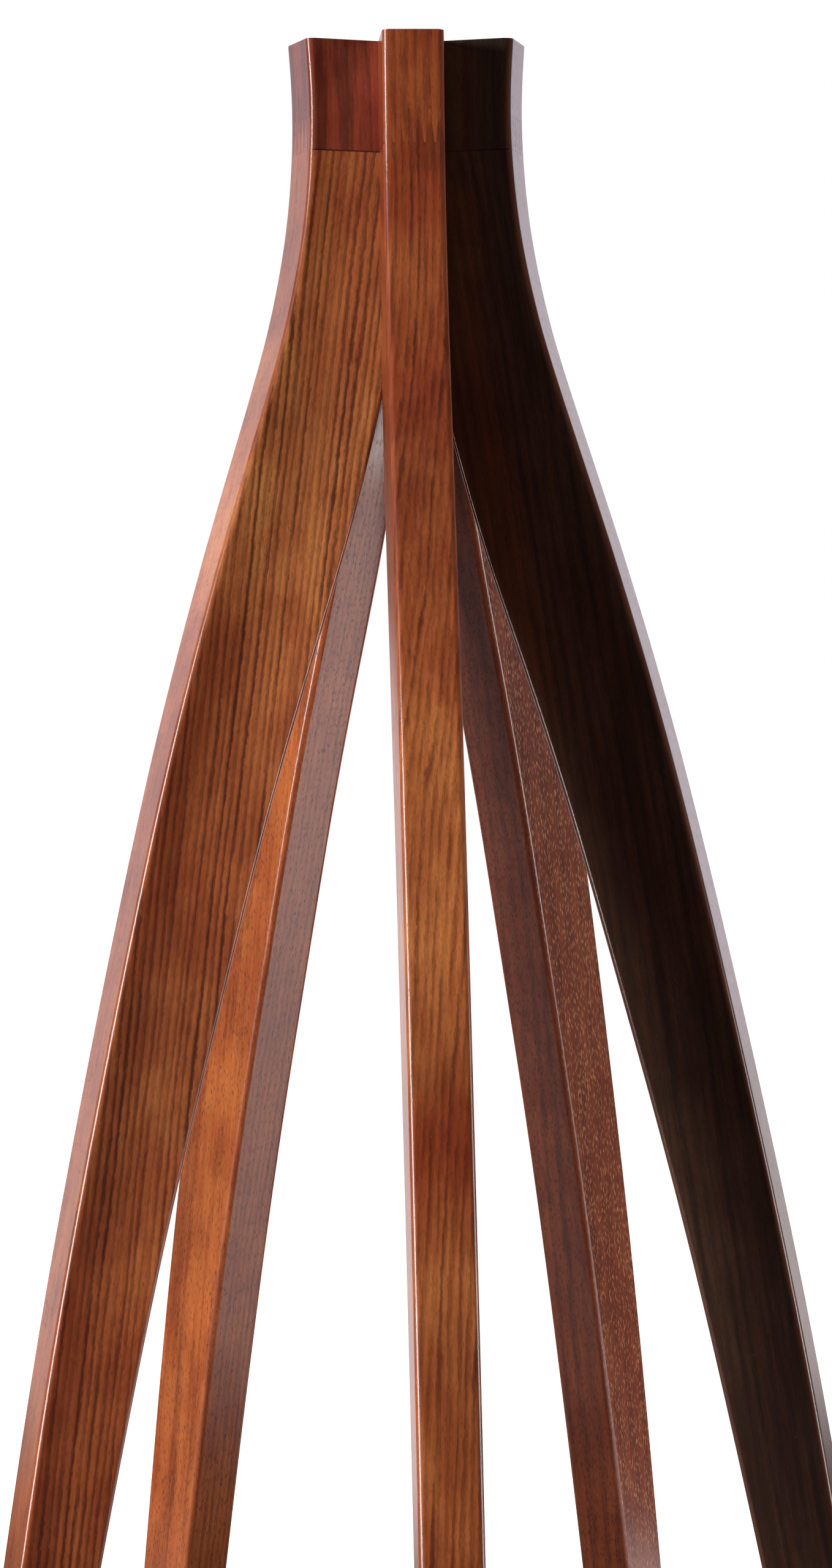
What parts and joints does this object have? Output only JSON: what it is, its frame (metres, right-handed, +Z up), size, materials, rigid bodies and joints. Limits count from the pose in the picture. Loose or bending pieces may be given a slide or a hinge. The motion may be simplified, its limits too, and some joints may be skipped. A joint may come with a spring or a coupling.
{
  "type": "five-legged instrument stand",
  "caption": "Rigid stained-ash stand: curved planks mitred into a star-section column splay into legs with levelling feet; flat top with a brass tripod-thread bush.",
  "frame": {"origin": "mouth of the centre thread, on the flat top face and the column's axis", "axes": "+Z up out of the top face, -Y along the front leg, +X to the right of the front leg seen from the front; the floor is at Z = -0.72 with the feet at mid setting"},
  "size_m": [0.3706, 0.3527, 0.72],
  "materials": {
    "leg_wood": "walnut-stained open-grain ash, clear gloss lacquer",
    "stave_wood": "walnut-stained open-grain ash, clear gloss lacquer",
    "joint_wood": "bare beech",
    "brass": "turned, lacquered",
    "steel": "zinc plated",
    "rubber": "matte"
  },
  "bodies": {
    "stand": {"leg_front": "leg_wood", "leg_right": "leg_wood", "leg_back_right": "leg_wood", "leg_back_left": "leg_wood", "leg_left": "leg_wood", "stave_front": "stave_wood", "stave_right": "stave_wood", "stave_back_right": "stave_wood", "stave_back_left": "stave_wood", "stave_left": "stave_wood", "tongue_front_right": "joint_wood", "tongue_right": "joint_wood", "tongue_back": "joint_wood", "tongue_left": "joint_wood", "tongue_front_left": "joint_wood", "core_dowel": "joint_wood", "mount_bush": "brass", "bush_screws": "brass", "foot_insert_front": "brass", "foot_insert_right": "brass", "foot_insert_back_right": "brass", "foot_insert_back_left": "brass", "foot_insert_left": "brass"},
    "foot_front": {"foot_stem_front": "steel", "foot_disc_front": "steel", "foot_sole_front": "rubber"},
    "foot_right": {"foot_stem_right": "steel", "foot_disc_right": "steel", "foot_sole_right": "rubber"},
    "foot_back_right": {"foot_stem_back_right": "steel", "foot_disc_back_right": "steel", "foot_sole_back_right": "rubber"},
    "foot_back_left": {"foot_stem_back_left": "steel", "foot_disc_back_left": "steel", "foot_sole_back_left": "rubber"},
    "foot_left": {"foot_stem_left": "steel", "foot_disc_left": "steel", "foot_sole_left": "rubber"}
  },
  "joints": [
    {"name": "foot_front_screw", "type": "slide", "parent": "stand", "child": "foot_front", "axis": [0, 0, -1], "range_m": [-0.0035, 0.012]},
    {"name": "foot_right_screw", "type": "slide", "parent": "stand", "child": "foot_right", "axis": [0, 0, -1], "range_m": [-0.0035, 0.012]},
    {"name": "foot_back_right_screw", "type": "slide", "parent": "stand", "child": "foot_back_right", "axis": [0, 0, -1], "range_m": [-0.0035, 0.012]},
    {"name": "foot_back_left_screw", "type": "slide", "parent": "stand", "child": "foot_back_left", "axis": [0, 0, -1], "range_m": [-0.0035, 0.012]},
    {"name": "foot_left_screw", "type": "slide", "parent": "stand", "child": "foot_left", "axis": [0, 0, -1], "range_m": [-0.0035, 0.012]}
  ]
}
